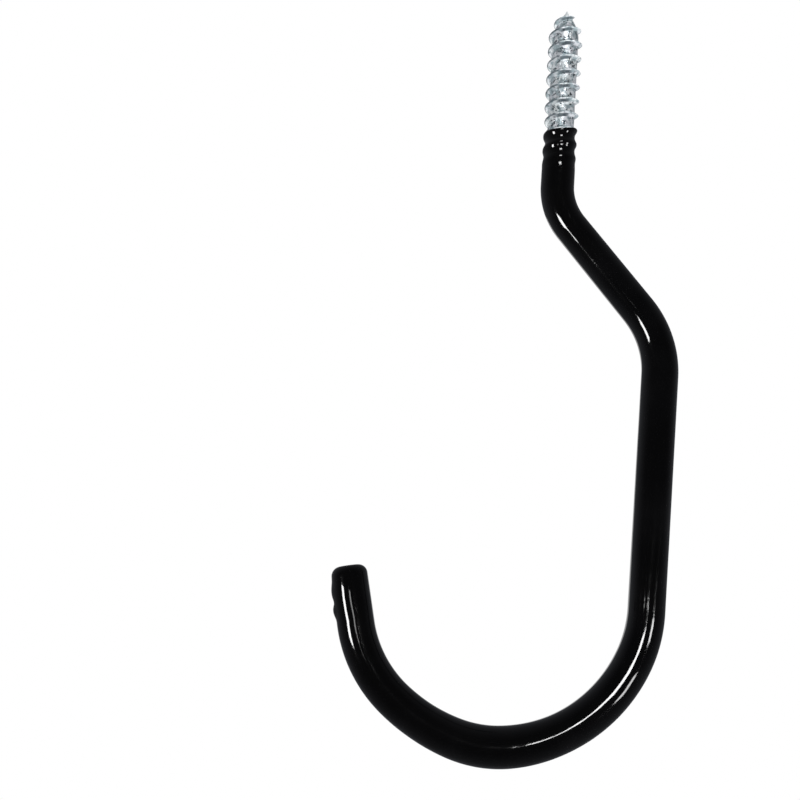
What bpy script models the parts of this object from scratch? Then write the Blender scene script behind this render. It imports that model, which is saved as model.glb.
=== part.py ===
"""A ceiling hook that holds a bicycle by its wheel.

One steel rod is bent to a cranked J and rolled to a wood screw thread at its upper end. From the foot
of the bare thread down to the tip it is dipped in vinyl. Metres, +Z up the screw. The origin is on the
screw's axis, where the bare thread meets the vinyl. The shank stands at +X, and the tip at -X.
"""

import math

import bmesh
import bpy
from mathutils import Matrix, Vector

# Steel rod
ROD_DIAMETER = 0.0064
ROD_END_CHAMFER = 0.0005

# Wood screw thread, right-handed, rolled on the rod's upper end
THREAD_DIAMETER = 0.0080
THREAD_ROOT_DIAMETER = 0.0061
THREAD_PITCH = 0.0036
THREAD_RIDGE_BASE = 0.0013
THREAD_RIDGE_CREST = 0.00015
THREAD_FIRST_CREST = 0.0016
BARE_THREAD_LENGTH = 0.0297
THREAD_RUNOUT_ABOVE = 0.0022
THREAD_RUNOUT_BELOW = 0.0080
THREAD_RUNOUT_POWER = 3.0

# Gimlet point
CORE_TAPER_LENGTH = 0.0080
CORE_TAPER_POWER = 1.5
CREST_TAPER_LENGTH = 0.0065
CREST_TAPER_POWER = 1.8
POINT_DIAMETER = 0.0005

# Centre line, from the vinyl's edge down to the tip
NECK_LENGTH = 0.0141
FIRST_BEND_RADIUS = 0.0150
FIRST_BEND_ANGLE = math.radians(41.3)
CRANK_LENGTH = 0.0243
SECOND_BEND_RADIUS = 0.0223
SECOND_BEND_ANGLE = math.radians(42.4)
SHANK_LENGTH = 0.0520
SHOULDER_RADIUS = 0.0290
SHOULDER_ANGLE = math.radians(21.9)
CRADLE_ENTRY_RADIUS = 0.0333
CRADLE_ENTRY_ANGLE = math.radians(59.8)
CRADLE_BOTTOM_RADIUS = 0.0266
CRADLE_BOTTOM_ANGLE = math.radians(24.6)
CRADLE_EXIT_RADIUS = 0.0392
CRADLE_EXIT_ANGLE = math.radians(22.0)
CLOSING_RADIUS = 0.0273
CLOSING_ANGLE = math.radians(38.4)
NOSE_LENGTH = 0.0122

# Vinyl coating: its outer diameter at the end of each stretch
COLLAR_DIAMETER = 0.0077
NECK_DIAMETER = 0.0077
FIRST_BEND_DIAMETER = 0.0078
CRANK_DIAMETER = 0.0080
SECOND_BEND_DIAMETER = 0.0082
SHANK_DIAMETER = 0.0081
SHOULDER_DIAMETER = 0.0083
CRADLE_ENTRY_DIAMETER = 0.0086
CRADLE_BOTTOM_DIAMETER = 0.0085
CRADLE_EXIT_DIAMETER = 0.0083
CLOSING_DIAMETER = 0.0082
NOSE_DIAMETER = 0.0079

# Vinyl coating: the collar over the last turns, the tip, and where the dip pooled and dripped
COLLAR_CREST_DIAMETER = 0.0079
COLLAR_VALLEY_DIAMETER = 0.0068
COLLAR_LENGTH = 0.0110
MOUTH_FRONT_SLOPE = 0.33
MOUTH_SIDE_SLOPE = 0.15
MOUTH_ROUNDING = 0.0012
MOUTH_WALL = 0.00015
TIP_WALL = 0.0012
TIP_CORNER_RADIUS = 0.0020
COATING_CLEARANCE = 0.00012
POOL_HEIGHT = 0.0002
POOL_REACH = 0.020
DROP_HEIGHT = 0.0003
DROP_REACH = 0.0045
DROP_FROM_TIP = 0.0055

# Mesh fineness
SIDES = 24
BEND_STEP = math.radians(6.0)
STRAIGHT_STEP = 0.009
NOSE_STEP = 0.0015
WAVE_POINTS = 8
CORNER_STEPS = 5
WELD = 0.000001
SHARP_ANGLE = math.radians(40.0)


def clear_scene():
    """Removes every object that the file opened with."""
    for thing in list(bpy.data.objects):
        bpy.data.objects.remove(thing, do_unlink=True)


def ease(share):
    """Smooth step from 0 to 1, held at both ends."""
    share = min(max(share, 0.0), 1.0)
    return share * share * (3.0 - 2.0 * share)


def taper(height, full_radius, length, power):
    """Radius at a height of a form that closes to the screw's point over a length, as a gimlet does."""
    left = min(max((BARE_THREAD_LENGTH - height) / length, 0.0), 1.0)
    return full_radius * (1.0 - (1.0 - left) ** power)


def steel_core(height):
    """Radius of the screw's core: the rod's, then the thread's root, then the point."""
    grown = ease(-height / THREAD_RUNOUT_BELOW)
    root = THREAD_ROOT_DIAMETER / 2.0
    core = root + (ROD_DIAMETER / 2.0 - root) * grown
    return max(taper(height, core, CORE_TAPER_LENGTH, CORE_TAPER_POWER), POINT_DIAMETER / 2.0)


def steel_crest(height):
    """Radius of the thread's crest, which runs out to the rod under the vinyl."""
    span = THREAD_RUNOUT_ABOVE + THREAD_RUNOUT_BELOW
    share = min(max((height + THREAD_RUNOUT_BELOW) / span, 0.0), 1.0)
    crest = ROD_DIAMETER / 2.0 + (THREAD_DIAMETER - ROD_DIAMETER) / 2.0 * share**THREAD_RUNOUT_POWER
    return max(taper(height, crest, CREST_TAPER_LENGTH, CREST_TAPER_POWER), steel_core(height))


def bore_core(height):
    """Radius of the vinyl's bore between the thread's ridges."""
    return steel_core(min(height, 0.0)) + COATING_CLEARANCE


def bore_crest(height):
    """Radius of the vinyl's bore over the thread's ridges."""
    return steel_crest(height) + COATING_CLEARANCE


def bore_radius(height, angle):
    """Radius of the vinyl's bore at a height and an angle round the screw's axis, counted from +X."""
    turns = (height - THREAD_FIRST_CREST) / THREAD_PITCH + 0.5 - angle / math.tau
    off_crest = abs(turns - round(turns)) * THREAD_PITCH
    flank = (THREAD_RIDGE_BASE - THREAD_RIDGE_CREST) / 2.0
    share = min(max((THREAD_RIDGE_BASE / 2.0 - off_crest) / flank, 0.0), 1.0)
    return bore_core(height) + (bore_crest(height) - bore_core(height)) * share


def collar_fade(height):
    """How far the coated ridges have faded into the plain neck at a height, from 0 to 1."""
    return ease(-height / COLLAR_LENGTH) ** 2


def collar_core(height):
    """Radius of the vinyl's outside between the coated ridges."""
    valley = COLLAR_VALLEY_DIAMETER / 2.0
    return valley + (COLLAR_DIAMETER / 2.0 - valley) * collar_fade(height)


def collar_crest(height):
    """Radius of the vinyl's outside over the coated ridges."""
    crest = COLLAR_CREST_DIAMETER / 2.0
    return crest + (COLLAR_DIAMETER / 2.0 - crest) * collar_fade(height)


def sharp_ridge():
    """One pitch of the rolled thread: heights about the crest, each with its share of the ridge."""
    half_pitch = THREAD_PITCH / 2.0
    half_base = THREAD_RIDGE_BASE / 2.0
    half_crest = THREAD_RIDGE_CREST / 2.0
    flat = (half_pitch + half_base) / 2.0
    return [
        (-half_pitch, 0.0),
        (-flat, 0.0),
        (-half_base, 0.0),
        (-half_crest, 1.0),
        (half_crest, 1.0),
        (half_base, 0.0),
        (flat, 0.0),
        (half_pitch, 0.0),
    ]


def soft_ridge():
    """One pitch of the coated thread, a rounded wave."""
    points = []
    for step in range(WAVE_POINTS + 1):
        turn = step / WAVE_POINTS - 0.5
        points.append((turn * THREAD_PITCH, 0.5 + 0.5 * math.cos(math.tau * turn)))
    return points


def cut(bm, height, up, keep_above):
    """Cuts the surface by a plane across the screw's axis and keeps one side of it."""
    bmesh.ops.bisect_plane(
        bm,
        geom=bm.verts[:] + bm.edges[:] + bm.faces[:],
        dist=WELD,
        plane_co=(0.0, 0.0, height),
        plane_no=up,
        clear_inner=keep_above,
        clear_outer=not keep_above,
    )


def screw_surface(bm, ridge, core, crest, bottom, top):
    """Winds one pitch of a ridge round the screw's axis, past a bottom and a top height."""
    root = THREAD_ROOT_DIAMETER / 2.0
    ridge_height = THREAD_DIAMETER / 2.0 - root
    start = THREAD_FIRST_CREST - THREAD_PITCH / 2.0
    start -= THREAD_PITCH * math.ceil((start - bottom) / THREAD_PITCH + 1.5)
    turns = math.ceil((top - start) / THREAD_PITCH + 0.5)
    profile = [bm.verts.new((root + ridge_height * share, 0.0, start + along)) for along, share in ridge]
    edges = [bm.edges.new(pair) for pair in zip(profile, profile[1:])]
    bmesh.ops.spin(
        bm,
        geom=profile + edges,
        cent=(0.0, 0.0, 0.0),
        axis=(0.0, 0.0, 1.0),
        dvec=(0.0, 0.0, THREAD_PITCH / SIDES),
        angle=math.tau * turns,
        steps=SIDES * turns,
    )
    for vert in bm.verts:
        flat = vert.co.to_2d()
        share = (flat.length - root) / ridge_height
        height = vert.co.z
        flat = flat.normalized() * (core(height) + (crest(height) - core(height)) * share)
        vert.co = (flat.x, flat.y, height)
    bmesh.ops.remove_doubles(bm, verts=bm.verts, dist=WELD)


def level_ring(bm, height):
    """Cuts the surface level at a height and returns the open end, with one vertex for each side."""
    cut(bm, height, (0.0, 0.0, 1.0), keep_above=True)
    rim = [edge for edge in bm.edges if edge.is_boundary]
    rim = [edge for edge in rim if all(abs(vert.co.z - height) < WELD for vert in edge.verts)]
    step = math.tau / SIDES
    spare = []
    for vert in {vert for edge in rim for vert in edge.verts}:
        sides = math.atan2(vert.co.y, vert.co.x) / step
        if abs(sides - round(sides)) > 0.01:
            spare.append(vert)
    bmesh.ops.dissolve_verts(bm, verts=spare)
    rim = [edge for edge in bm.edges if edge.is_boundary]
    return [edge for edge in rim if all(abs(vert.co.z - height) < WELD for vert in edge.verts)]


def fill_open_end(bm):
    """Closes the one end that is still open with a flat face."""
    bmesh.ops.edgeloop_fill(bm, edges=[edge for edge in bm.edges if edge.is_boundary])


class Sweep:
    """Draws a ring of edges along the hook's centre line, as an extrusion that turns and swells."""

    def __init__(self, bm, ring, height, radius):
        self.bm = bm
        self.ring = ring
        self.centre = Vector((0.0, 0.0, height))
        self.heading = Vector((0.0, 0.0, -1.0))
        self.radius = radius

    def side(self):
        """Direction to the left of the heading, seen from the front."""
        return Vector((-self.heading.z, 0.0, self.heading.x))

    def step(self, move, radius):
        """Extrudes the ring once, moves it by a matrix and brings it to a radius."""
        grown = bmesh.ops.extrude_edge_only(self.bm, edges=self.ring)["geom"]
        verts = {item for item in grown if isinstance(item, bmesh.types.BMVert)}
        edges = [item for item in grown if isinstance(item, bmesh.types.BMEdge)]
        self.ring = [edge for edge in edges if verts.issuperset(edge.verts)]
        self.centre = move @ self.centre
        for vert in verts:
            vert.co = self.centre + (move @ vert.co - self.centre) * (radius / self.radius)
        self.radius = radius

    def straight(self, length, radius, longest=STRAIGHT_STEP):
        """Runs straight on, while the radius goes evenly to its new value."""
        steps = max(1, math.ceil(length / longest))
        first = self.radius
        move = Matrix.Translation(self.heading * (length / steps))
        for count in range(1, steps + 1):
            self.step(move, first + (radius - first) * count / steps)

    def bend(self, bend_radius, angle, radius):
        """Turns in the hook's plane, to the left where the angle is positive."""
        steps = max(1, math.ceil(abs(angle) / BEND_STEP))
        first = self.radius
        pivot = self.centre + self.side() * math.copysign(bend_radius, angle)
        turn = Matrix.Rotation(-angle / steps, 4, "Y")
        move = Matrix.Translation(pivot) @ turn @ Matrix.Translation(-pivot)
        for count in range(1, steps + 1):
            self.step(move, first + (radius - first) * count / steps)
            self.heading = (turn @ self.heading).normalized()

    def narrow_end(self, rim_steps):
        """Ends the sweep by steps ahead to smaller radii, closed by a flat face."""
        for ahead, radius in rim_steps:
            self.step(Matrix.Translation(self.heading * ahead), radius)
        bmesh.ops.edgeloop_fill(self.bm, edges=self.ring)


def follow_hook(sweep, neck, radii, nose, nose_step):
    """Leads a sweep down the neck, along the hook and to its nose, with the radius at each stretch's end.

    Returns the centre line's place at the bottom of the cradle.
    """
    sweep.straight(neck, radii["neck"])
    sweep.bend(FIRST_BEND_RADIUS, FIRST_BEND_ANGLE, radii["first bend"])
    sweep.straight(CRANK_LENGTH, radii["crank"])
    sweep.bend(SECOND_BEND_RADIUS, -SECOND_BEND_ANGLE, radii["second bend"])
    sweep.straight(SHANK_LENGTH, radii["shank"])
    sweep.bend(SHOULDER_RADIUS, -SHOULDER_ANGLE, radii["shoulder"])
    sweep.bend(CRADLE_ENTRY_RADIUS, -CRADLE_ENTRY_ANGLE, radii["cradle entry"])
    sweep.bend(CRADLE_BOTTOM_RADIUS, -CRADLE_BOTTOM_ANGLE, radii["cradle bottom"])
    bottom = sweep.centre.copy()
    sweep.bend(CRADLE_EXIT_RADIUS, -CRADLE_EXIT_ANGLE, radii["cradle exit"])
    sweep.bend(CLOSING_RADIUS, -CLOSING_ANGLE, radii["closing"])
    sweep.straight(nose, radii["nose"], nose_step)
    return bottom


def coating_radii():
    """The vinyl's outer radius at the end of each stretch."""
    diameters = {
        "neck": NECK_DIAMETER,
        "first bend": FIRST_BEND_DIAMETER,
        "crank": CRANK_DIAMETER,
        "second bend": SECOND_BEND_DIAMETER,
        "shank": SHANK_DIAMETER,
        "shoulder": SHOULDER_DIAMETER,
        "cradle entry": CRADLE_ENTRY_DIAMETER,
        "cradle bottom": CRADLE_BOTTOM_DIAMETER,
        "cradle exit": CRADLE_EXIT_DIAMETER,
        "closing": CLOSING_DIAMETER,
        "nose": NOSE_DIAMETER,
    }
    return {stretch: diameter / 2.0 for stretch, diameter in diameters.items()}


def even_radii(radius):
    """One radius for every stretch, as on the bare rod and its bore."""
    return {stretch: radius for stretch in coating_radii()}


def swell(bm, place, reach, height):
    """Raises a soft lump on the skin round a place."""
    bm.normal_update()
    moves = []
    for vert in bm.verts:
        near = 1.0 - min((vert.co - place).length / reach, 1.0) ** 2
        moves.append((vert, vert.normal * height * near * near))
    for vert, move in moves:
        vert.co += move


def round_mouth(bm, upward):
    """Thins the skin towards its edge on the thread, which lies in a plane through the origin."""
    for vert in bm.verts:
        share = -vert.co.dot(upward) / MOUTH_ROUNDING
        if share < 1.0:
            height = vert.co.z
            flat = vert.co.to_2d()
            lip = bore_radius(height, math.atan2(flat.y, flat.x)) + MOUTH_WALL
            grown = math.sqrt(1.0 - (1.0 - max(share, 0.0)) ** 2)
            flat = flat.normalized() * (lip + (flat.length - lip) * grown)
            vert.co = (flat.x, flat.y, height)


def finish_mesh(bm, name):
    """Makes an object of a closed body, shaded smooth with its sharp edges kept."""
    bmesh.ops.recalc_face_normals(bm, faces=bm.faces)
    mesh = bpy.data.meshes.new(name)
    bm.to_mesh(mesh)
    bm.free()
    mesh.shade_smooth()
    mesh.set_sharp_from_angle(angle=SHARP_ANGLE)
    thing = bpy.data.objects.new(name, mesh)
    bpy.context.scene.collection.objects.link(thing)
    return thing


def make_material(name, colour, roughness, metallic):
    """A plain Principled finish."""
    material = bpy.data.materials.new(name)
    material.use_nodes = True
    shader = material.node_tree.nodes["Principled BSDF"]
    shader.inputs["Base Color"].default_value = (*colour, 1.0)
    shader.inputs["Roughness"].default_value = roughness
    shader.inputs["Metallic"].default_value = metallic
    return material


def make_steel_hook():
    """The bent rod with its rolled thread and gimlet point, one piece of zinc-plated steel."""
    bm = bmesh.new()
    bottom = -THREAD_RUNOUT_BELOW
    screw_surface(bm, sharp_ridge(), steel_core, steel_crest, bottom, BARE_THREAD_LENGTH)
    cut(bm, BARE_THREAD_LENGTH, (0.0, 0.0, 1.0), keep_above=False)
    radius = ROD_DIAMETER / 2.0
    sweep = Sweep(bm, level_ring(bm, bottom), bottom, radius)
    nose = NOSE_LENGTH - TIP_WALL - COATING_CLEARANCE - ROD_END_CHAMFER
    follow_hook(sweep, NECK_LENGTH + bottom, even_radii(radius), nose, STRAIGHT_STEP)
    sweep.narrow_end([(ROD_END_CHAMFER, radius - ROD_END_CHAMFER)])
    fill_open_end(bm)
    return finish_mesh(bm, "steel_hook")


def make_bore_cutter():
    """The space that the steel takes in the vinyl, open past the mouth."""
    bm = bmesh.new()
    bottom = -THREAD_RUNOUT_BELOW
    top = THREAD_PITCH / 2.0
    screw_surface(bm, sharp_ridge(), bore_core, bore_crest, bottom, top)
    cut(bm, top, (0.0, 0.0, 1.0), keep_above=False)
    radius = ROD_DIAMETER / 2.0 + COATING_CLEARANCE
    sweep = Sweep(bm, level_ring(bm, bottom), bottom, radius)
    nose = NOSE_LENGTH - TIP_WALL
    follow_hook(sweep, NECK_LENGTH + bottom, even_radii(radius), nose, STRAIGHT_STEP)
    sweep.narrow_end([])
    fill_open_end(bm)
    cutter = finish_mesh(bm, "bore_cutter")
    cutter.hide_render = True
    cutter.display_type = "WIRE"
    return cutter


def make_vinyl_coating(cutter):
    """The dipped vinyl skin: a collar over the last turns, the wall, the pooled cradle and the tip."""
    bm = bmesh.new()
    bottom = -COLLAR_LENGTH
    top = THREAD_PITCH / 2.0
    screw_surface(bm, soft_ridge(), collar_core, collar_crest, bottom, top)
    upward = Vector((-MOUTH_SIDE_SLOPE, -MOUTH_FRONT_SLOPE, 1.0)).normalized()
    cut(bm, 0.0, upward, keep_above=False)
    round_mouth(bm, upward)
    sweep = Sweep(bm, level_ring(bm, bottom), bottom, COLLAR_DIAMETER / 2.0)
    nose = NOSE_LENGTH - TIP_CORNER_RADIUS
    pool = follow_hook(sweep, NECK_LENGTH + bottom, coating_radii(), nose, NOSE_STEP)
    outer = sweep.side()
    drop = sweep.centre + sweep.heading * (TIP_CORNER_RADIUS - DROP_FROM_TIP) + outer * sweep.radius
    sweep.narrow_end(rounded_corner(sweep.radius, TIP_CORNER_RADIUS))
    fill_open_end(bm)
    bmesh.ops.recalc_face_normals(bm, faces=bm.faces)
    swell(bm, pool + Vector((0.0, 0.0, -CRADLE_BOTTOM_DIAMETER / 2.0)), POOL_REACH, POOL_HEIGHT)
    swell(bm, drop, DROP_REACH, DROP_HEIGHT)
    coating = finish_mesh(bm, "vinyl_coating")
    bore = coating.modifiers.new("Bore", "BOOLEAN")
    bore.operation = "DIFFERENCE"
    bore.solver = "EXACT"
    bore.object = cutter
    return coating


def rounded_corner(radius, corner):
    """Steps ahead and radii that round the end of a rod over its corner."""
    steps = []
    before = 0.0
    for count in range(1, CORNER_STEPS + 1):
        angle = math.pi / 2.0 * count / CORNER_STEPS
        ahead = corner * math.sin(angle)
        steps.append((ahead - before, radius - corner + corner * math.cos(angle)))
        before = ahead
    return steps


def main():
    """Builds the hook."""
    clear_scene()
    steel = make_steel_hook()
    steel.data.materials.append(make_material("zinc_plate", (0.76, 0.79, 0.82), 0.30, 1.0))
    coating = make_vinyl_coating(make_bore_cutter())
    coating.data.materials.append(make_material("black_vinyl", (0.008, 0.008, 0.009), 0.16, 0.0))


main()
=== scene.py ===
"""A ceiling hook for a bicycle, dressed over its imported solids.

One zinc-plated steel rod with a rolled wood screw thread, and the black vinyl it is dipped in.
Metres, +Z up the screw. The origin is on the screw's axis, where the bare thread meets the vinyl.
The shank stands at +X, the tip at -X, and the front faces -Y.
"""

import logging
import math
from collections.abc import Callable, Iterator
from contextlib import contextmanager
from dataclasses import dataclass, field
from enum import Enum
from functools import partial

import bmesh
import bpy
from mathutils import Matrix, Vector
from mathutils.kdtree import KDTree


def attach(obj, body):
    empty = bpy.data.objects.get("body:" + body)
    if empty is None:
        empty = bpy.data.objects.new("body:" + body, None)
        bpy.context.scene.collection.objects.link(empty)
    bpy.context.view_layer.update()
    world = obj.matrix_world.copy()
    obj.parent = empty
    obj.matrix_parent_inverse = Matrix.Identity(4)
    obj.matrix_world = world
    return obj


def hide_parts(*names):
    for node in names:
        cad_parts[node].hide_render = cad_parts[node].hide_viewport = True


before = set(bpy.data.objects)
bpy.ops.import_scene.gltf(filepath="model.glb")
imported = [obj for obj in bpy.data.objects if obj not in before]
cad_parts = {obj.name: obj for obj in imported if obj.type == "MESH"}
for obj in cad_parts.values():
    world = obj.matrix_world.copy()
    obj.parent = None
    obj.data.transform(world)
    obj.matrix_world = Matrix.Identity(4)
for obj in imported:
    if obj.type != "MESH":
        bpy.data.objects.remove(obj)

WELD = 0.000001
Colour = tuple[float, float, float, float]
Span = tuple[float, float]
Place = Callable[[Vector], Vector]
RingOf = Callable[[Vector], tuple[Vector, float]]
WHITE: Colour = (1.0, 1.0, 1.0, 1.0)
log = logging.getLogger("bicycle_hook")


def ease(share: float) -> float:
    """Smooth step from 0 to 1, held at both ends."""
    share = min(max(share, 0.0), 1.0)
    return share * share * (3.0 - 2.0 * share)


@dataclass(frozen=True)
class Stretch:
    """A straight or bent stretch of the rod, and the coat's diameter at its end.

    A straight stretch has a length. A bent one has a radius and the degrees that it turns, counted
    to the left of the way that the rod runs, seen from the front.
    """

    coated: float
    length: float = 0.0
    radius: float = 0.0
    degrees: float = 0.0


@dataclass(frozen=True)
class HookLine:
    """The hook's centre line, from the vinyl's edge on the thread down to the tip."""

    neck: Stretch = Stretch(coated=0.0077, length=0.0141)
    first_bend: Stretch = Stretch(coated=0.0078, radius=0.0150, degrees=41.3)
    crank: Stretch = Stretch(coated=0.0080, length=0.0243)
    second_bend: Stretch = Stretch(coated=0.0082, radius=0.0223, degrees=-42.4)
    shank: Stretch = Stretch(coated=0.0081, length=0.0520)
    shoulder: Stretch = Stretch(coated=0.0083, radius=0.0290, degrees=-21.9)
    cradle_entry: Stretch = Stretch(coated=0.0086, radius=0.0333, degrees=-59.8)
    cradle_bottom: Stretch = Stretch(coated=0.0085, radius=0.0266, degrees=-24.6)
    cradle_exit: Stretch = Stretch(coated=0.0083, radius=0.0392, degrees=-22.0)
    closing: Stretch = Stretch(coated=0.0082, radius=0.0273, degrees=-38.4)
    nose: Stretch = Stretch(coated=0.0079, length=0.0122)

    def stretches(self, skipped: float, cut_off: float) -> list[Stretch]:
        """Lists the stretches from top to tip.

        Args:
            skipped: length at the top of the neck that is drawn already.
            cut_off: length that the nose ends short of the coat's tip.

        Returns:
            The eleven stretches in order.
        """
        neck = Stretch(self.neck.coated, length=self.neck.length - skipped)
        nose = Stretch(self.nose.coated, length=self.nose.length - cut_off)
        middle = [self.first_bend, self.crank, self.second_bend, self.shank, self.shoulder]
        cradle = [self.cradle_entry, self.cradle_bottom, self.cradle_exit, self.closing]
        return [neck, *middle, *cradle, nose]


@dataclass(frozen=True)
class WoodScrewThread:
    """The right-handed thread rolled on the rod's upper end, and the gimlet point it closes to.

    The softness is the share of the ridge's height that its root and its crest are rounded over.
    """

    rod: float = 0.0064
    diameter: float = 0.0080
    root: float = 0.0061
    pitch: float = 0.0036
    ridge_base: float = 0.0013
    ridge_crest: float = 0.00015
    softness: float = 0.14
    first_crest: float = 0.0016
    bare_length: float = 0.0299
    runout_above: float = 0.0022
    runout_below: float = 0.0080
    runout_power: float = 3.0
    core_taper: float = 0.0070
    core_power: float = 1.7
    first_turn: float = 0.0007
    turn_rise: float = 0.0010
    point: float = 0.0006

    def core(self, height: float) -> float:
        """Finds the radius of the screw's core.

        Args:
            height: height above the origin.

        Returns:
            The radius, from the point's at the top to the rod's where the thread has run out.
        """
        grown = ease(-height / self.runout_below)
        core = self.root / 2.0 + (self.rod - self.root) / 2.0 * grown
        left = min(max((self.bare_length - height) / self.core_taper, 0.0), 1.0)
        return max(core * (1.0 - (1.0 - left) ** self.core_power), self.point / 2.0)

    def crest(self, height: float) -> float:
        """Finds the radius of the thread's crest.

        Args:
            height: height above the origin.

        Returns:
            The radius, which falls to the core's at the point and to the rod's in the run-out.
        """
        share = (height + self.runout_below) / (self.runout_above + self.runout_below)
        grown = min(max(share, 0.0), 1.0) ** self.runout_power
        crest = self.rod / 2.0 + (self.diameter - self.rod) / 2.0 * grown
        risen = ease((self.bare_length - height - self.first_turn) / self.turn_rise)
        ridge = (self.diameter - self.root) / 2.0 * risen
        return min(crest, self.core(height) + ridge) if height > 0.0 else crest

    def turns(self, height: float, angle: float) -> float:
        """Turns up the thread at a height and an angle from +X, whole on a crest."""
        return (height - self.first_crest) / self.pitch + 0.5 - angle / math.tau

    def ridge(self, off_crest: float) -> float:
        """Gives the ridge's cross-section.

        Args:
            off_crest: distance from the crest along the screw.

        Returns:
            The share of the ridge's height, from 0 at the root to 1 at the crest.
        """
        flank = (self.ridge_base - self.ridge_crest) / 2.0
        share = (self.ridge_base / 2.0 - abs(off_crest)) / flank
        if share < self.softness:
            return max(share + self.softness, 0.0) ** 2 / (4.0 * self.softness)
        if share > 1.0 - self.softness:
            return 1.0 - max(1.0 + self.softness - share, 0.0) ** 2 / (4.0 * self.softness)
        return share

    def surface(self, height: float, angle: float) -> float:
        """Finds the radius of the steel's surface under the vinyl.

        Args:
            height: height above the origin.
            angle: angle from +X.

        Returns:
            The radius.
        """
        turns = self.turns(height, angle)
        share = self.ridge(abs(turns - round(turns)) * self.pitch)
        core = self.core(min(height, 0.0))
        return core + (self.crest(height) - core) * share


def take_alone(piece: bpy.types.Object) -> None:
    """Selects one object and nothing else.

    Args:
        piece: the object.
    """
    bpy.ops.object.select_all(action="DESELECT")
    piece.select_set(True)
    bpy.context.view_layer.objects.active = piece


@contextmanager
def edit(piece: bpy.types.Object) -> Iterator[None]:
    """Opens one object in edit mode, with all of it selected, and closes it again.

    Args:
        piece: the object.

    Returns:
        The context to edit it in.
    """
    take_alone(piece)
    bpy.ops.object.mode_set(mode="EDIT")
    bpy.ops.mesh.select_mode(type="VERT")
    bpy.ops.mesh.select_all(action="SELECT")
    yield
    bpy.ops.object.mode_set(mode="OBJECT")


def pick_verts(piece: bpy.types.Object, wanted: Callable[[bmesh.types.BMVert], bool]) -> None:
    """Selects the points of a mesh in edit mode that meet a test.

    Args:
        piece: the object that is open in edit mode.
        wanted: the test.
    """
    mesh = bmesh.from_edit_mesh(piece.data)
    for vert in mesh.verts:
        vert.select_set(wanted(vert))
    mesh.select_flush_mode()
    mesh.select_flush(True)
    bmesh.update_edit_mesh(piece.data)


def reshape(piece: bpy.types.Object, place: Place) -> None:
    """Moves every point of a mesh to where a function puts it."""
    for vert in piece.data.vertices:
        vert.co = place(vert.co.copy())


def polar(radius: float, angle: float, height: float) -> Vector:
    """A point at a radius and an angle round the screw's axis."""
    return Vector((radius * math.cos(angle), radius * math.sin(angle), height))


def outward(azimuth: float, elevation: float) -> Vector:
    """Direction from the hook, by degrees from the front towards +X and degrees upwards."""
    across, up = math.radians(azimuth), math.radians(elevation)
    return Vector((math.sin(across) * math.cos(up), -math.cos(across) * math.cos(up), math.sin(up)))


def add_ring(name: str, sides: int, radius: float) -> bpy.types.Object:
    """Adds a level ring of edges round the origin.

    Args:
        name: the object's name.
        sides: number of points.
        radius: the ring's radius.

    Returns:
        The new object.
    """
    bpy.ops.object.select_all(action="DESELECT")
    bpy.ops.mesh.primitive_circle_add(vertices=sides, radius=radius, location=(0.0, 0.0, 0.0))
    ring = bpy.context.active_object
    ring.name = name
    return ring


@dataclass
class Drawing:
    """Draws the selected ring along the hook in edit mode, and keeps each ring's centre and radius.

    The steps between rings are coarse enough for a hidden surface, unless finer ones are given.
    """

    centre: Vector
    bend_step: float = math.radians(4.0)
    straight_step: float = 0.006
    heading: Vector = field(default_factory=lambda: Vector((0.0, 0.0, -1.0)))
    rings: list[tuple[Vector, float]] = field(default_factory=list)

    def side(self) -> Vector:
        """Direction to the left of the heading, seen from the front."""
        return Vector((-self.heading.z, 0.0, self.heading.x))

    def ahead(self, length: float, radius: float) -> None:
        """Extrudes one ring straight ahead.

        Args:
            length: how far.
            radius: radius that the ring is to have.
        """
        move = self.heading * length
        bpy.ops.mesh.extrude_region_move(TRANSFORM_OT_translate={"value": move})
        self.centre = self.centre + move
        self.rings.append((self.centre.copy(), radius))

    def draw(self, stretch: Stretch, start: float, end: float) -> None:
        """Draws one stretch, straight or bent.

        Args:
            stretch: the stretch.
            start: radius of the ring before it.
            end: radius of the last ring.
        """
        if stretch.radius:
            self.spin(stretch, start, end)
            return
        steps = max(1, math.ceil(stretch.length / self.straight_step))
        for count in range(1, steps + 1):
            self.ahead(stretch.length / steps, start + (end - start) * count / steps)

    def spin(self, stretch: Stretch, start: float, end: float) -> None:
        """Spins the ring through a bend in the hook's plane.

        Args:
            stretch: the bend.
            start: radius of the ring before it.
            end: radius of the last ring.
        """
        angle = math.radians(stretch.degrees)
        steps = max(1, math.ceil(abs(angle) / self.bend_step))
        pivot = self.centre + self.side() * math.copysign(stretch.radius, angle)
        axis = (0.0, 1.0, 0.0)
        bpy.ops.mesh.spin(steps=steps, dupli=False, angle=angle, center=pivot, axis=axis)
        turn = Matrix.Rotation(-angle / steps, 3, "Y")
        for count in range(1, steps + 1):
            self.centre = pivot + turn @ (self.centre - pivot)
            self.rings.append((self.centre.copy(), start + (end - start) * count / steps))
        self.heading = (Matrix.Rotation(-angle, 3, "Y") @ self.heading).normalized()

    def shrink(self, share: float) -> None:
        """Scales the selected ring about its centre."""
        bpy.ops.transform.resize(value=(share, share, share), center_override=self.centre)

    def nearest_ring(self) -> RingOf:
        """Makes the function that finds the ring that a point belongs to.

        Returns:
            The function, which gives the ring's centre and radius.
        """
        tree = KDTree(len(self.rings))
        for index, (centre, _) in enumerate(self.rings):
            tree.insert(centre, index)
        tree.balance()
        return lambda point: self.rings[tree.find(point)[1]]


class Sum(Enum):
    """What a Math node works out."""

    ADD = "ADD"
    SUBTRACT = "SUBTRACT"
    MULTIPLY = "MULTIPLY"
    ANGLE = "ARCTAN2"
    FRACTION = "FRACT"


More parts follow.
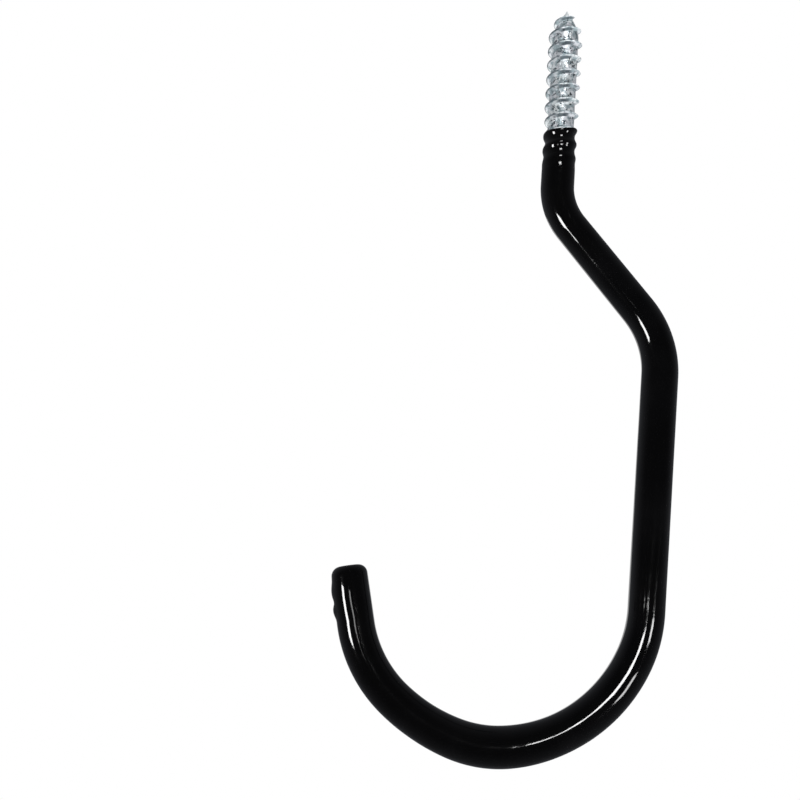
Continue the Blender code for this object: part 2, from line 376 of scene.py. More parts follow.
class Value:
    """A shader value that takes part in sums as a number does."""

    def __init__(self, shader: "Shader", socket: bpy.types.NodeSocket | None) -> None:
        """Keeps the shader that the socket belongs to."""
        self.shader = shader
        self.socket = socket

    def __add__(self, other: "Value | float") -> "Value":
        """Sum."""
        return self.shader.sum(Sum.ADD, self, other)

    __radd__ = __add__

    def __mul__(self, other: "Value | float") -> "Value":
        """Product."""
        return self.shader.sum(Sum.MULTIPLY, self, other)

    __rmul__ = __mul__

    def __sub__(self, other: "Value | float") -> "Value":
        """Difference."""
        return self.shader.sum(Sum.SUBTRACT, self, other)

    def __rsub__(self, other: "Value | float") -> "Value":
        """Difference, the other way round."""
        return self.shader.sum(Sum.SUBTRACT, other, self)

    def between(self, span: Span) -> "Value":
        """Eased share of the way from the span's first value to its second, held at both ends."""
        settings = {"interpolation_type": "SMOOTHSTEP"}
        return self.shader.node("ShaderNodeMapRange", settings, {0: self, 1: span[0], 2: span[1]})

    def limited(self) -> "Value":
        """The value held between 0 and 1."""
        return self.shader.node("ShaderNodeClamp", {}, {0: self})


class Shader:
    """A node tree that is written as expressions."""

    def __init__(self, tree: bpy.types.NodeTree) -> None:
        """Empties the tree."""
        self.tree = tree
        tree.nodes.clear()

    def node(
        self,
        kind: str,
        settings: dict[str, object],
        inputs: dict[int | str, object],
        output: int | str = 0,
    ) -> Value:
        """Adds a node.

        Args:
            kind: the node's type.
            settings: its settings, which are made first.
            inputs: a value or a link for each socket, by number or name.
            output: the socket that the result is taken from.

        Returns:
            The chosen output, or an empty value where the node has none.
        """
        made = self.tree.nodes.new(kind)
        for name, setting in settings.items():
            setattr(made, name, setting)
        for key, given in inputs.items():
            if isinstance(given, Value):
                self.tree.links.new(given.socket, made.inputs[key])
            else:
                made.inputs[key].default_value = given
        return Value(self, made.outputs[output] if len(made.outputs) else None)

    def sum(self, kind: Sum, *terms: Value | float) -> Value:
        """Adds one Math node."""
        inputs = dict(enumerate(terms))
        return self.node("ShaderNodeMath", {"operation": kind.value}, inputs)

    def place(self) -> Value:
        """The point's own place in the part's frame."""
        return self.node("ShaderNodeTexCoord", {}, {}, "Object")

    def part(self, place: Value, axis: str) -> Value:
        """One part of a vector."""
        return self.node("ShaderNodeSeparateXYZ", {}, {0: place}, axis)

    def noise(self, place: Value, size: float, detail: float, roughness: float = 0.5) -> Value:
        """Cloudy noise whose features have a size in metres."""
        inputs = {"Vector": place, "Scale": 1.0 / size, "Detail": detail, "Roughness": roughness}
        return self.node("ShaderNodeTexNoise", {}, inputs)

    def mix(self, share: Value, first: Value | Colour, second: Value | Colour) -> Value:
        """A colour on the way from a first to a second, by the Mix node's colour sockets."""
        inputs = {0: share, 6: first, 7: second}
        return self.node("ShaderNodeMix", {"data_type": "RGBA"}, inputs, 2)

    def bump(self, height: Value, distance: float, normal: Value | None = None) -> Value:
        """Bends the normal by a height.

        Args:
            height: the height, from 0 to 1.
            distance: what a height of 1 stands for.
            normal: a normal that is bent already.

        Returns:
            The bent normal.
        """
        inputs = {"Height": height, "Distance": distance}
        if normal is not None:
            inputs["Normal"] = normal
        return self.node("ShaderNodeBump", {}, inputs)

    def surface(self, shader: Value) -> None:
        """Joins a shader to the material's output."""
        self.node("ShaderNodeOutputMaterial", {}, {"Surface": shader})


def new_material(name: str) -> tuple[bpy.types.Material, Shader]:
    """Makes an empty material.

    Args:
        name: its name.

    Returns:
        The material and its shader.
    """
    material = bpy.data.materials.new(name)
    material.use_nodes = True
    return material, Shader(material.node_tree)


@dataclass(frozen=True)
class ZincPlate:
    """Milky bluish zinc plating on rolled steel, blotched in the roots, with painted shade under
    the ridges and along the crests on the left.

    Each span says where a mask begins and where it is full: a side in metres along X or Y, the
    cone, last turn and point in metres along Z, the ridge, the painted shade and the painted shade
    line in turns above the crest, and clouds by their noise.
    """

    thread: WoodScrewThread
    bright: Colour = (0.93, 0.98, 1.00, 1.0)
    lilac: Colour = (0.84, 0.87, 0.92, 1.0)
    dull: Colour = (0.36, 0.45, 0.48, 1.0)
    speck: Colour = (0.06, 0.09, 0.11, 1.0)
    # Painted shade: a dark colour mixed in under the ridges and along the crests on the left.
    painted_shade: Colour = (0.04, 0.06, 0.075, 1.0)
    blotch: float = 0.0013
    blotch_detail: float = 3.0
    blotch_rough: float = 0.6
    tint_size: float = 0.0039
    speck_size: float = 0.0008
    grain: float = 0.0005
    grain_height: float = 0.00026
    grain_share: float = 0.5
    whole_turns: float = 17.0
    wander_size: float = 0.0010
    wander: float = 0.07
    right_side: Span = (0.0008, 0.0018)
    left_side: Span = (-0.0010, -0.0020)
    front_side: Span = (-0.0002, -0.0018)
    cone_end: Span = (0.0255, 0.0270)
    last_turn: Span = (0.0270, 0.0280)
    point_end: Span = (0.0284, 0.0292)
    ridge_foot: Span = (-0.20, -0.14)
    ridge_back: Span = (0.08, 0.14)
    # Turns off the crest where the painted shade under a ridge begins and ends.
    shade_from: Span = (-0.20, -0.16)
    shade_to: Span = (-0.07, -0.03)
    # Turns off the crest where the painted shade line above the crest begins and ends.
    shade_line_from: Span = (-0.07, -0.04)
    shade_line_to: Span = (0.03, 0.06)
    shade_clouds: Span = (0.40, 0.60)
    # Shares of the painted shade: what is kept under clouds, what is taken off at the left, the
    # line's share and the share mixed in.
    shade_least: float = 0.75
    shade_at_left: float = 0.6
    shade_line_share: float = 0.9
    painted_shade_share: float = 0.95
    tint_clouds: Span = (0.40, 0.60)
    dull_clouds: Span = (0.56, 0.42)
    dull_share: float = 0.9
    speck_clouds: Span = (0.55, 0.63)
    speck_share: float = 0.9
    speck_off_ridge: float = 0.6
    metal: float = 0.70
    metal_in_specks: float = 0.2
    metal_off_ridge: float = 0.40
    metal_off_cone: float = 0.4
    rough: float = 0.18
    rough_clouds: float = 0.12

    def off_crest(self, shader: Shader, place: Value) -> Value:
        """Counts the turns of the thread from the nearest crest up to a point.

        Args:
            shader: the shader to write in.
            place: the point.

        Returns:
            The turns, below zero under the crest.
        """
        x, y, z = (shader.part(place, axis) for axis in "XYZ")
        angle = shader.sum(Sum.ANGLE, y, x)
        turns = (z - self.thread.first_crest) * (1.0 / self.thread.pitch) + self.whole_turns
        turns -= angle * (1.0 / math.tau)
        return shader.sum(Sum.FRACTION, turns) - 0.5

    def flank(self, shader: Shader, place: Value, off: Value, clouds: Value) -> Value:
        """Finds the painted shade under a ridge and the painted shade line above its crest.

        Args:
            shader: the shader to write in.
            place: the point.
            off: turns that it lies off the nearest crest.
            clouds: noise that thins the painted shade.

        Returns:
            The painted shade's share there.
        """
        across = shader.part(place, "X")
        top = shader.part(place, "Z").between(self.last_turn)
        right = across.between(self.right_side) * (1.0 - top)
        left = across.between(self.left_side)
        # Painted shade under each ridge.
        under = off.between(self.shade_from) * (1.0 - off.between(self.shade_to))
        # Painted shade line above the crest, used only at the left side.
        over = off.between(self.shade_line_from) * (1.0 - off.between(self.shade_line_to))
        # The painted shade is kept to the front, is taken off at the right and is thinned at the
        # left.
        front = shader.part(place, "Y").between(self.front_side) * (1.0 - right)
        front = front * (1.0 - self.shade_at_left * left)
        thinned = (1.0 - self.shade_least) * clouds.between(self.shade_clouds)
        under = under * front * (self.shade_least + thinned)
        return (under + self.shade_line_share * over * left).limited()

    def material(self) -> bpy.types.Material:
        """Makes the material.

        Returns:
            The material.
        """
        material, shader = new_material("zinc_plate")
        place = shader.place()
        clouds = shader.noise(place, self.blotch, self.blotch_detail, self.blotch_rough)
        specks = shader.noise(place, self.speck_size, self.blotch_detail, self.blotch_rough)
        grain = shader.noise(place, self.grain, 2.0)
        tint = shader.noise(place, self.tint_size, 1.0)
        wander = shader.noise(place, self.wander_size, 2.0) * self.wander - self.wander / 2.0
        point = 1.0 - shader.part(place, "Z").between(self.point_end)
        cone = shader.part(place, "Z").between(self.cone_end)
        off = self.off_crest(shader, place) + wander
        ridge = off.between(self.ridge_foot) * (1.0 - off.between(self.ridge_back))
        # Painted shade of the ridges and the left crests, left off the point.
        flank = self.flank(shader, place, off, clouds) * point
        dark = specks.between(self.speck_clouds) * point
        dull = self.dull_share * clouds.between(self.dull_clouds) * point
        colour = shader.mix(tint.between(self.tint_clouds), self.bright, self.lilac)
        colour = shader.mix(dull, colour, self.dull)
        speck = self.speck_share * dark * (1.0 - self.speck_off_ridge * ridge)
        colour = shader.mix(speck, colour, self.speck)
        # Mixes the painted shade into the colour.
        colour = shader.mix(self.painted_shade_share * flank, colour, self.painted_shade)
        metal = self.metal + self.metal_in_specks * dark - self.metal_off_ridge * ridge
        metal = (metal * (1.0 - self.metal_off_cone * cone)).limited()
        inputs = {
            "Base Color": colour,
            "Metallic": metal,
            "Roughness": self.rough + self.rough_clouds * clouds,
            "Normal": shader.bump(self.grain_share * grain + specks, self.grain_height),
        }
        shader.surface(shader.node("ShaderNodeBsdfPrincipled", {}, inputs))
        return material


@dataclass(frozen=True)
class DippedVinyl:
    """Glossy black vinyl with the faint waves and dust of a dip."""

    black: Colour = (0.0010, 0.0010, 0.0011, 1.0)
    worn: Colour = (0.0022, 0.0022, 0.0024, 1.0)
    worn_clouds: Span = (0.35, 0.75)
    specular: float = 0.65
    rough: float = 0.045
    rough_clouds: float = 0.03
    rough_skin: float = 0.02
    cloud: float = 0.012
    wave: float = 0.006
    wave_height: float = 0.00010
    skin: float = 0.0007
    skin_height: float = 0.000004

    def material(self) -> bpy.types.Material:
        """Makes the material.

        Returns:
            The material.
        """
        material, shader = new_material("dipped_vinyl")
        place = shader.place()
        clouds = shader.noise(place, self.cloud, 3.0)
        skin = shader.noise(place, self.skin, 3.0)
        waves = shader.noise(place, self.wave, 1.0)
        bent = shader.bump(waves, self.wave_height)
        inputs = {
            "Base Color": shader.mix(clouds.between(self.worn_clouds), self.black, self.worn),
            "Roughness": self.rough + self.rough_clouds * clouds + self.rough_skin * skin,
            "Specular IOR Level": self.specular,
            "Normal": shader.bump(skin, self.skin_height, bent),
        }
        shader.surface(shader.node("ShaderNodeBsdfPrincipled", {}, inputs))
        return material


@dataclass
class SteelHook:
    """The bent rod with its rolled thread and gimlet point, in one piece.

    The profile lists, in millimetres off the crest, where the thread's section has its points. The
    clearance is the room that the vinyl's solid leaves round the rod's end.
    """

    line: HookLine
    thread: WoodScrewThread
    finish: ZincPlate
    sides: int = 96
    side_slack: float = 0.01
    smooth_below: float = 50.0
    end_chamfer: float = 0.0005
    tip_wall: float = 0.0012
    clearance: float = 0.00012
    profile: tuple[float, ...] = (
        0.03, 0.07, 0.11, 0.18, 0.33, 0.46, 0.56, 0.66, 0.75, 1.05, 1.4, 1.8
    )

    def build(self) -> bpy.types.Object:
        """Makes the piece, dresses it and puts it in the solid's place.

        Returns:
            The piece.
        """
        piece = self.wind_thread()
        reshape(piece, self.thinned)
        self.trim(piece)
        self.draw_rod(piece)
        bpy.ops.object.shade_smooth_by_angle(angle=math.radians(self.smooth_below))
        piece.data.materials.append(self.finish.material())
        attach(piece, "root")
        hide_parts("steel_hook")
        return piece

    def offsets(self) -> list[float]:
        """Heights of the section's points, half a pitch below a crest to half a pitch above."""
        above = [millimetres / 1000.0 for millimetres in self.profile]
        return [-offset for offset in reversed(above)] + [0.0] + above

    def wind_thread(self) -> bpy.types.Object:
        """Draws one pitch of the ridge point by point and winds it with a Screw modifier.

        Returns:
            The wound thread, longer at both ends than it is kept.
        """
        pitch = self.thread.pitch
        root = self.thread.root / 2.0
        height = self.thread.diameter / 2.0 - root
        below = math.ceil(self.thread.runout_below / pitch + 2.0)
        turns = below + math.ceil(self.thread.bare_length / pitch + 2.0)
        start = self.thread.first_crest - pitch / 2.0 - below * pitch
        points = [
            Vector((root + height * self.thread.ridge(offset), 0.0, start + offset))
            for offset in self.offsets()
        ]
        bpy.ops.object.select_all(action="DESELECT")
        bpy.ops.mesh.primitive_plane_add(size=WELD, location=points[0])
        bpy.ops.object.transform_apply(location=True, rotation=True, scale=True)
        piece = bpy.context.active_object
        piece.name = "screw_and_rod"
        with edit(piece):
            bpy.ops.mesh.merge(type="CENTER")
            for before, after in zip(points, points[1:]):
                bpy.ops.mesh.extrude_vertices_move(TRANSFORM_OT_translate={"value": after - before})
        screw = piece.modifiers.new("Thread", "SCREW")
        screw.axis = "Z"
        screw.angle = math.tau
        screw.screw_offset = pitch
        screw.iterations = turns
        screw.steps = self.sides
        screw.render_steps = self.sides
        bpy.ops.object.modifier_apply(modifier=screw.name)
        return piece

    def thinned(self, point: Vector) -> Vector:
        """Brings a point to the core's and the crest's radius at its height.

        Args:
            point: a point of the wound thread.

        Returns:
            Its new place.
        """
        root = self.thread.root / 2.0
        share = (point.xy.length - root) / (self.thread.diameter / 2.0 - root)
        core = self.thread.core(point.z)
        flat = point.xy.normalized() * (core + (self.thread.crest(point.z) - core) * share)
        return Vector((flat.x, flat.y, point.z))

    def trim(self, piece: bpy.types.Object) -> None:
        """Cuts the thread level at the point and where it has run out, and closes the point.

        Args:
            piece: the thread.
        """
        bottom = -self.thread.runout_below
        top = self.thread.bare_length
        with edit(piece):
            bpy.ops.mesh.remove_doubles(threshold=WELD)
            cut = {"plane_no": (0.0, 0.0, 1.0), "threshold": WELD}
            bpy.ops.mesh.bisect(plane_co=(0.0, 0.0, top), clear_outer=True, **cut)
            bpy.ops.mesh.select_all(action="SELECT")
            bpy.ops.mesh.bisect(plane_co=(0.0, 0.0, bottom), clear_inner=True, **cut)
            pick_verts(piece, lambda vert: abs(vert.co.z - top) < WELD)
            bpy.ops.mesh.edge_face_add()
            pick_verts(piece, lambda vert: self.is_spare(vert.co, bottom))
            bpy.ops.mesh.dissolve_verts()

    def is_spare(self, point: Vector, level: float) -> bool:
        """True for a point that a level cut left between two of the rod's sides."""
        sides = math.atan2(point.y, point.x) / (math.tau / self.sides)
        return abs(point.z - level) < WELD and abs(sides - round(sides)) > self.side_slack

    def draw_rod(self, piece: bpy.types.Object) -> None:
        """Draws the rod on from the thread, through the bends to its chamfered end in the tip.

        Args:
            piece: the trimmed thread.
        """
        bottom = -self.thread.runout_below
        radius = self.thread.rod / 2.0
        short = self.tip_wall + self.clearance + self.end_chamfer
        drawing = Drawing(Vector((0.0, 0.0, bottom)))
        with edit(piece):
            pick_verts(piece, lambda vert: abs(vert.co.z - bottom) < WELD)
            for stretch in self.line.stretches(-bottom, short):
                drawing.draw(stretch, radius, radius)
            drawing.ahead(self.end_chamfer, radius)
            drawing.shrink(1.0 - self.end_chamfer / radius)
            bpy.ops.mesh.edge_face_add()
            bpy.ops.mesh.select_all(action="SELECT")
            bpy.ops.mesh.normals_make_consistent(inside=False)


@dataclass(frozen=True)
class Drop:
    """A drop that has set on the outer side of the tip, or a nick if its height is negative.

    It is turned to the front by some degrees.
    """

    from_tip: float
    turn: float
    reach: float
    height: float


@dataclass(frozen=True)
class NoseEnd:
    """Where the round of the tip begins: its ring, the rod's way there and the left of it."""

    centre: Vector
    radius: float
    heading: Vector
    side: Vector


@dataclass
class VinylCoating:
    """The dipped skin: a collar over the last turns, the wall, the pooled cradle and the tip."""

    line: HookLine
    thread: WoodScrewThread
    finish: DippedVinyl
    sides: int = 96
    smooth_below: float = 60.0
    bend_step: float = math.radians(1.0)
    straight_step: float = 0.0005
    collar: float = 0.0077
    collar_crest: float = 0.0079
    collar_valley: float = 0.0068
    collar_length: float = 0.0110
    collar_peak: float = 1.4
    front_slope: float = 0.33
    side_slope: float = 0.15
    mouth_rounding: float = 0.0012
    mouth_wall: float = 0.00005
    ring_step: float = 0.00014
    first_step: float = 0.00002
    step_growth: float = 0.15
    fitting_passes: int = 4
    tip_wall: float = 0.0012
    tip_corner: float = 0.0020
    tip_zone: float = 0.0060
    tip_steps: int = 12
    tip_face: tuple[float, ...] = (0.7, 0.6, 0.4)
    clearance: float = 0.00002
    pool_height: float = 0.0002
    pool_reach: float = 0.020
    drops: tuple[Drop, ...] = (
        Drop(from_tip=0.0060, turn=30.0, reach=0.0062, height=0.00026),
        Drop(from_tip=0.0053, turn=0.0, reach=0.0026, height=0.00024),
        Drop(from_tip=0.0075, turn=0.0, reach=0.0013, height=-0.00018),
        Drop(from_tip=0.0094, turn=0.0, reach=0.0022, height=0.00040),
    )
    egg: float = 0.16
    egg_about: Vector = field(default_factory=lambda: Vector((-0.0075, 0.0, -0.0950)))
    egg_from: float = -8.0
    egg_to: float = 95.0
    egg_fade: float = 35.0

    def build(self) -> bpy.types.Object:
        """Makes the piece, dresses it and puts it in the solid's place.

        Returns:
            The piece.
        """
        piece = self.draw_skin()
        bore = self.draw_bore()
        self.join(piece, bore)
        bpy.ops.object.shade_smooth_by_angle(angle=math.radians(self.smooth_below))
        piece.data.materials.append(self.finish.material())
        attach(piece, "root")
        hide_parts("vinyl_coating")
        return piece

    def collar_rings(self, drawing: Drawing) -> None:
        """Extrudes the collar's rings, closest together at the lip.

        Args:
            drawing: the drawing that goes on from the mouth.
        """
        depth = 0.0
        while depth < self.collar_length:
            left = self.collar_length - depth
            step = min(max(self.step_growth * depth, self.first_step), self.ring_step, left)
            step = step if left - step > WELD else left
            depth += step
            drawing.ahead(step, self.collar / 2.0)

    def draw_skin(self) -> bpy.types.Object:
        """Draws the outside from the mouth to the tip, and brings each ring to its size.

        Returns:
            The outside, open at the mouth.
        """
        radius = self.collar / 2.0
        piece = add_ring("vinyl_skin", self.sides, radius)
        drawing = Drawing(Vector(), self.bend_step, self.straight_step)
        drawing.rings.append((Vector(), radius))
        with edit(piece):
            self.collar_rings(drawing)
            for stretch in self.line.stretches(self.collar_length, self.tip_corner):
                drawing.draw(stretch, radius, stretch.coated / 2.0)
                radius = stretch.coated / 2.0
            nose = NoseEnd(drawing.centre.copy(), radius, drawing.heading.copy(), drawing.side())
            self.round_tip(drawing, radius)
        reshape(piece, partial(self.sized, drawing.nearest_ring(), nose))
        reshape(piece, self.on_collar)
        self.swell(piece, self.pool_place(drawing), self.pool_reach, self.pool_height)
        for drop in self.drops:
            turn = math.radians(drop.turn)
            out = nose.side * math.cos(turn) - Vector((0.0, math.sin(turn), 0.0))
            down = nose.heading * (self.tip_corner - drop.from_tip)
            self.swell(piece, nose.centre + down + out * radius, drop.reach, drop.height)
        return piece

    def round_tip(self, drawing: Drawing, radius: float) -> None:
        """Rounds the tip's corner and closes its flat end.

        Args:
            drawing: the drawing, at the end of the nose.
            radius: the nose's radius.
        """
        before, ahead = radius, 0.0
        for count in range(1, self.tip_steps + 1):
            angle = math.pi / 2.0 * count / self.tip_steps
            reach = self.tip_corner * math.sin(angle)
            after = radius - self.tip_corner + self.tip_corner * math.cos(angle)
            drawing.ahead(reach - ahead, after)
            drawing.shrink(after / before)
            before, ahead = after, reach
        for share in self.tip_face:
            drawing.ahead(0.0, before)
            drawing.shrink(share)
        bpy.ops.mesh.merge(type="CENTER")

    def sized(self, ring_of: RingOf, nose: NoseEnd, point: Vector) -> Vector:
        """Brings a point of the skin to its ring's radius and its section's shape.

        Args:
            ring_of: the function that finds the point's ring.
            nose: the last ring before the tip's corner.
            point: the point as it was drawn.

        Returns:
            The point's new place.
        """
        drawn = self.collar / 2.0
        off = point - nose.centre
        past = off.dot(nose.heading)
        if past > WELD and off.length < self.tip_zone + nose.radius:
            along = nose.centre + nose.heading * past
            return along + (point - along) * (nose.radius / drawn)
        centre, wanted = ring_of(point)
        out = (point - centre) * (wanted / drawn)
        inward = (self.egg_about - centre).normalized()
        out.y *= 1.0 + self.egg_share(centre) * out.dot(inward) / wanted
        return centre + out

    def egg_share(self, centre: Vector) -> float:
        """Tells how egg-shaped bending has left a section, broadest on the inside of the bend.

        Args:
            centre: the section's centre.

        Returns:
            The share that the inside is broader and the outside narrower.
        """
        out = centre - self.egg_about
        degrees = math.degrees(math.atan2(-out.z, out.x))
        begun = ease((degrees - self.egg_from) / self.egg_fade)
        return self.egg * begun * ease((self.egg_to - degrees) / self.egg_fade)

    def collar_radius(self, height: float, angle: float) -> float:
        """Finds the radius of the collar, which waves with the turns of the thread under it.

        Args:
            height: height above the origin.
            angle: angle from +X.

        Returns:
            The radius.
        """
        fade = ease(-height / self.collar_length) ** 2
        core = self.collar_valley / 2.0 + (self.collar - self.collar_valley) / 2.0 * fade
        crest = self.collar_crest / 2.0 + (self.collar - self.collar_crest) / 2.0 * fade
        turns = self.thread.turns(height, angle)
        return core + (crest - core) * (0.5 + 0.5 * math.cos(math.tau * turns)) ** self.collar_peak

    def lip(self, height: float, angle: float) -> float:
        """Radius of the bore, where the skin ends on the steel."""
        return self.thread.surface(height, angle) + self.clearance

    def tilted(self, height: float, radius: float, angle: float) -> float:
        """Height of a ring's point when the mouth is tilted and the tilt fades down the collar."""
        slope = self.side_slope * math.cos(angle) + self.front_slope * math.sin(angle)
        return height + radius * slope * ease(1.0 + height / self.collar_length)

    def on_collar(self, point: Vector) -> Vector:
        """Tilts the mouth, waves the collar over the thread and thins its edge on to the steel.

        Args:
            point: a point of the skin.

        Returns:
            Its new place, which is the old one below the collar.
        """
        if point.z < -self.collar_length + WELD or point.xy.length > self.collar:
            return point
        upward = Vector((-self.side_slope, -self.front_slope, 1.0)).normalized()
        angle = math.atan2(point.y, point.x)
        radius = self.collar / 2.0
        for _ in range(self.fitting_passes):
            height = self.tilted(point.z, radius, angle)
            full = self.collar_radius(height, angle)
            share = -polar(radius, angle, height).dot(upward) / self.mouth_rounding
            grown = math.sqrt(1.0 - (1.0 - min(max(share, 0.0), 1.0)) ** 2)
            thin = self.lip(height, angle) + self.mouth_wall
            radius = thin + (full - thin) * grown
        return polar(radius, angle, height)

    def pool_place(self, drawing: Drawing) -> Vector:
        """The lowest place of the skin, where the vinyl has pooled under the cradle."""
        centre, radius = min(drawing.rings, key=lambda ring: ring[0].z)
        return centre - Vector((0.0, 0.0, radius))

    def swell(self, piece: bpy.types.Object, middle: Vector, reach: float, height: float) -> None:
        """Raises a soft lump on the skin.

        Args:
            piece: the skin.
            middle: place of the lump's top.
            reach: how far from there it ends.
            height: how far it stands out, or is sunk where it is negative.
        """
        normals = [vert.normal.copy() for vert in piece.data.vertices]
        for vert, normal in zip(piece.data.vertices, normals):
            near = 1.0 - min((vert.co - middle).length / reach, 1.0) ** 2
            vert.co += normal * height * near * near

    def draw_bore(self) -> bpy.types.Object:
        """Draws the inside of the skin, which lies on the steel.

        Returns:
            The inside, open at the mouth.
        """
        radius = self.thread.rod / 2.0 + self.clearance
        piece = add_ring("vinyl_bore", self.sides, radius)
        drawing = Drawing(Vector())
        with edit(piece):
            self.collar_rings(drawing)
            for stretch in self.line.stretches(self.collar_length, self.tip_wall):
                drawing.draw(stretch, radius, radius)
            bpy.ops.mesh.edge_face_add()
        reshape(piece, self.on_steel)
        return piece

    def on_steel(self, point: Vector) -> Vector:
        """Lays a point of the bore on the thread under the collar.

        Args:
            point: the point as it was drawn.

        Returns:
            Its new place, which is the old one below the run-out.
        """
        if point.z < -self.thread.runout_below or point.xy.length > self.collar:
            return point
        angle = math.atan2(point.y, point.x)
        radius = self.thread.rod / 2.0 + self.clearance
        for _ in range(self.fitting_passes):
            height = self.tilted(point.z, radius, angle)
            radius = self.lip(height, angle)
        return polar(radius, angle, height)

    def join(self, piece: bpy.types.Object, bore: bpy.types.Object) -> None:
        """Joins the outside and the bore by a ring of faces at the mouth.

        Args:
            piece: the outside.
            bore: the inside.
        """
        take_alone(piece)
        bore.select_set(True)
        bpy.ops.object.join()
        with edit(piece):
            bpy.ops.mesh.select_all(action="DESELECT")
            bpy.ops.mesh.select_non_manifold()
            bpy.ops.mesh.bridge_edge_loops()
            bpy.ops.mesh.select_all(action="SELECT")
            bpy.ops.mesh.normals_make_consistent(inside=False)


@dataclass(frozen=True)
class Camera:
    """The camera, below the hook and looking up at it, a little rolled. Angles in degrees."""

    looked_at: Vector = field(default_factory=lambda: Vector((-0.03251, 0.0, -0.06737)))
    distance: float = 0.2555
    azimuth: float = 0.54
    elevation: float = -10.62
    roll: float = 4.53
    lens: float = 51.36
    sensor: float = 36.0
    nearest: float = 0.01

    def place(self) -> None:
        """Adds the camera and makes it the scene's."""
        back = outward(self.azimuth, self.elevation)
        across = math.radians(self.azimuth)
        right = Vector((math.cos(across), math.sin(across), 0.0))
        level = Matrix((right, back.cross(right), back)).transposed()
        turned = level @ Matrix.Rotation(math.radians(self.roll), 3, "Z")
        bpy.ops.object.camera_add(location=self.looked_at + back * self.distance)
        camera = bpy.context.active_object
        camera.rotation_euler = turned.to_euler()
        camera.data.lens = self.lens
        camera.data.sensor_width = self.sensor
        camera.data.clip_start = self.nearest
        bpy.context.scene.camera = camera


@dataclass(frozen=True)
class SoftLamp:
    """A square-cornered soft lamp that stands round the hook.

    Its angles are degrees: the azimuth counts from the front towards +X, the elevation from the
    hook's middle, the width and height are what the lamp takes up, and the tilt turns it upwards.
    """

    name: str
    azimuth: float
    elevation: float
    width: float
    height: float
    watts: float
    distance: float = 1.0
    in_gloss: bool = True
    tilt: float = 0.0
    spread: float = 180.0

    def place(self, middle: Vector) -> None:
        """Adds the lamp and turns it to the hook.

        Args:
            middle: the hook's middle.
        """
        away = outward(self.azimuth, self.elevation)
        bpy.ops.object.light_add(type="AREA", location=middle + away * self.distance)
        lamp = bpy.context.active_object
        lamp.name = self.name
        back = outward(self.azimuth, self.elevation - self.tilt)
        lamp.rotation_euler = back.to_track_quat("Z", "Y").to_euler()
        lamp.data.shape = "RECTANGLE"
        lamp.data.size = 2.0 * self.distance * math.tan(math.radians(self.width) / 2.0)
        lamp.data.size_y = 2.0 * self.distance * math.tan(math.radians(self.height) / 2.0)
        lamp.data.energy = self.watts
        lamp.data.spread = math.radians(self.spread)
        lamp.visible_camera = False
        lamp.visible_glossy = self.in_gloss


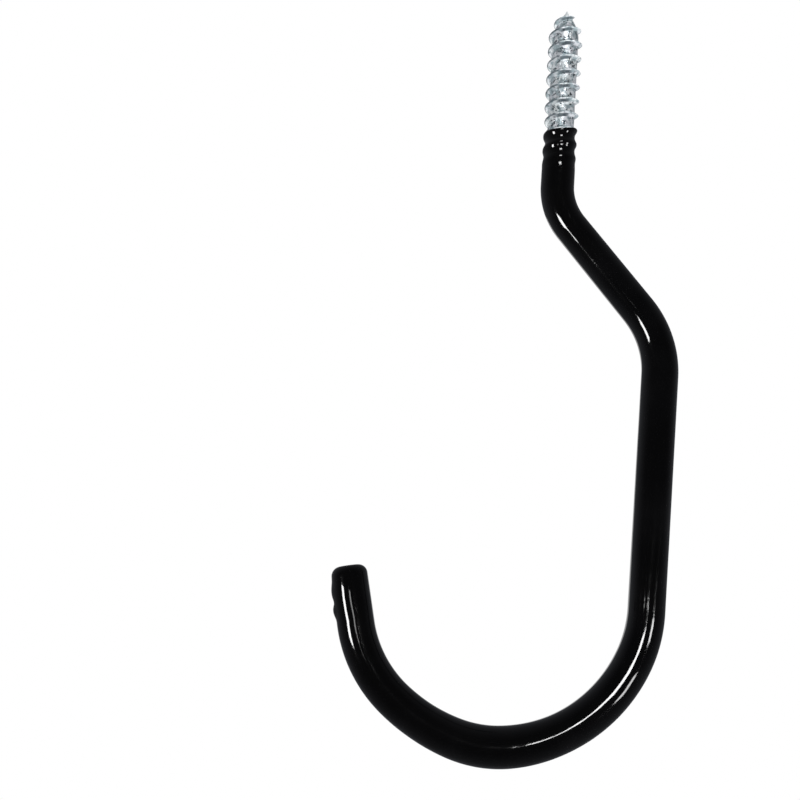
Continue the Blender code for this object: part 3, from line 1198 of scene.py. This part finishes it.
@dataclass(frozen=True)
class Studio:
    """A plain white studio with soft lamps, and a dark screen round the camera."""

    middle: Vector = field(default_factory=lambda: Vector((-0.0075, 0.0, -0.0600)))
    floor_height: float = -0.75
    floor_radius: float = 0.90
    floor_sides: int = 128
    floor_fade: Span = (0.15, 0.45)
    pale: Colour = (0.85, 0.85, 0.85, 1.0)
    screen_radius: float = 1.3
    screen_height: float = 0.5
    screen_back: float = 1.15
    screen_fade: Span = (-0.78, 1.15)
    ambient: float = 0.40
    front_dark: Colour = (0.020, 0.020, 0.022, 1.0)
    side_grey: Colour = (0.150, 0.155, 0.170, 1.0)
    lamps: tuple[SoftLamp, ...] = (
        SoftLamp("left_lamp", -47.0, -11.7, 12.0, 13.4, 3.2),
        SoftLamp("upper_right_lamp", 51.5, -7.5, 9.0, 8.0, 0.95),
        SoftLamp("lower_right_lamp", 49.0, -25.5, 9.0, 11.0, 1.00),
        SoftLamp("right_of_camera", 14.6, -12.2, 12.2, 8.2, 0.20, 0.316),
        SoftLamp("left_of_camera", -11.2, -10.1, 6.2, 6.5, 0.016, 0.312),
        SoftLamp("above_camera", 4.5, 37.6, 13.0, 10.0, 0.036, 0.377, tilt=22.6, spread=50.0),
        SoftLamp("front_fill", -4.0, 28.0, 30.0, 30.0, 2.1, in_gloss=False),
        SoftLamp("left_fill", -100.0, -5.0, 30.0, 30.0, 7.5, in_gloss=False),
        SoftLamp("right_fill", 95.0, -5.0, 30.0, 30.0, 7.5, in_gloss=False),
    )

    def build(self) -> None:
        """Sets up the world, the floor, the screen and the lamps."""
        self.light_world()
        self.lay_floor()
        self.hang_screen()
        for lamp in self.lamps:
            lamp.place(self.middle)

    def seen(self, shader: Shader) -> Value:
        """Tells what is seen from light that only falls on things.

        Args:
            shader: the shader to write in.

        Returns:
            1 for what the camera sees straight, mirrored or through glass, and 0 for other light.
        """
        names = ("Is Camera Ray", "Is Glossy Ray", "Is Transmission Ray")
        camera, gloss, through = (shader.node("ShaderNodeLightPath", {}, {}, ray) for ray in names)
        return (camera + gloss + through).limited()

    def light_world(self) -> None:
        """White behind everything, and a soft even light on the hook."""
        world = bpy.data.worlds.new("white_room")
        world.use_nodes = True
        bpy.context.scene.world = world
        shader = Shader(world.node_tree)
        strength = self.ambient + (1.0 - self.ambient) * self.seen(shader)
        inputs = {"Color": WHITE, "Strength": strength}
        light = shader.node("ShaderNodeBackground", {}, inputs)
        shader.node("ShaderNodeOutputWorld", {}, {"Surface": light})

    def lay_floor(self) -> None:
        """A pale floor that turns into the white round it."""
        bpy.ops.object.select_all(action="DESELECT")
        bpy.ops.mesh.primitive_circle_add(
            vertices=self.floor_sides,
            radius=self.floor_radius,
            fill_type="NGON",
            location=(self.middle.x, 0.0, self.floor_height),
        )
        bpy.ops.object.transform_apply(location=True, rotation=True, scale=True)
        floor = bpy.context.active_object
        floor.name = "floor"
        material, shader = new_material("pale_floor")
        to_middle = {0: shader.place(), 1: (-self.middle.x, 0.0, -self.floor_height)}
        centred = shader.node("ShaderNodeMapping", {}, to_middle)
        away = shader.node("ShaderNodeVectorMath", {"operation": "LENGTH"}, {0: centred}, "Value")
        white = away.between(self.floor_fade) * self.seen(shader)
        pale = shader.node("ShaderNodeBsdfDiffuse", {}, {"Color": self.pale})
        glow = shader.node("ShaderNodeEmission", {}, {"Color": WHITE})
        shader.surface(shader.node("ShaderNodeMixShader", {}, {0: white, 1: pale, 2: glow}))
        floor.data.materials.append(material)

    def hang_screen(self) -> None:
        """A dark screen that only the gloss sees, round the front and the sides."""
        bpy.ops.object.select_all(action="DESELECT")
        bpy.ops.mesh.primitive_uv_sphere_add(segments=64, ring_count=32, radius=self.screen_radius)
        bpy.ops.transform.resize(value=(1.0, 1.0, self.screen_height))
        bpy.ops.transform.translate(value=self.middle)
        bpy.ops.object.transform_apply(location=True, rotation=True, scale=True)
        screen = bpy.context.active_object
        screen.name = "dark_screen"
        with edit(screen):
            cut = {"plane_no": (0.0, 1.0, 0.0), "clear_outer": True, "threshold": WELD}
            bpy.ops.mesh.bisect(plane_co=(0.0, self.screen_back, 0.0), **cut)
        material, shader = new_material("dark_cloth")
        share = shader.part(shader.place(), "Y").between(self.screen_fade)
        colour = shader.mix(share, self.front_dark, self.side_grey)
        shader.surface(shader.node("ShaderNodeEmission", {}, {"Color": colour}))
        screen.data.materials.append(material)
        screen.visible_camera = False
        screen.visible_diffuse = False
        screen.visible_transmission = False
        screen.visible_shadow = False


def main() -> None:
    """Builds the hook and the studio, and notes the sizes."""
    logging.basicConfig(level=logging.INFO, format="%(name)s: %(message)s")
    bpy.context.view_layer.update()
    line, thread = HookLine(), WoodScrewThread()
    steel = SteelHook(line, thread, ZincPlate(thread))
    vinyl = VinylCoating(line, thread, DippedVinyl())
    for part in (steel, vinyl):
        piece = part.build()
        log.info("%s has %d faces", piece.name, len(piece.data.polygons))
    Studio().build()
    Camera().place()
    bpy.context.scene.view_settings.view_transform = "Standard"


if __name__ == "__main__":
    main()
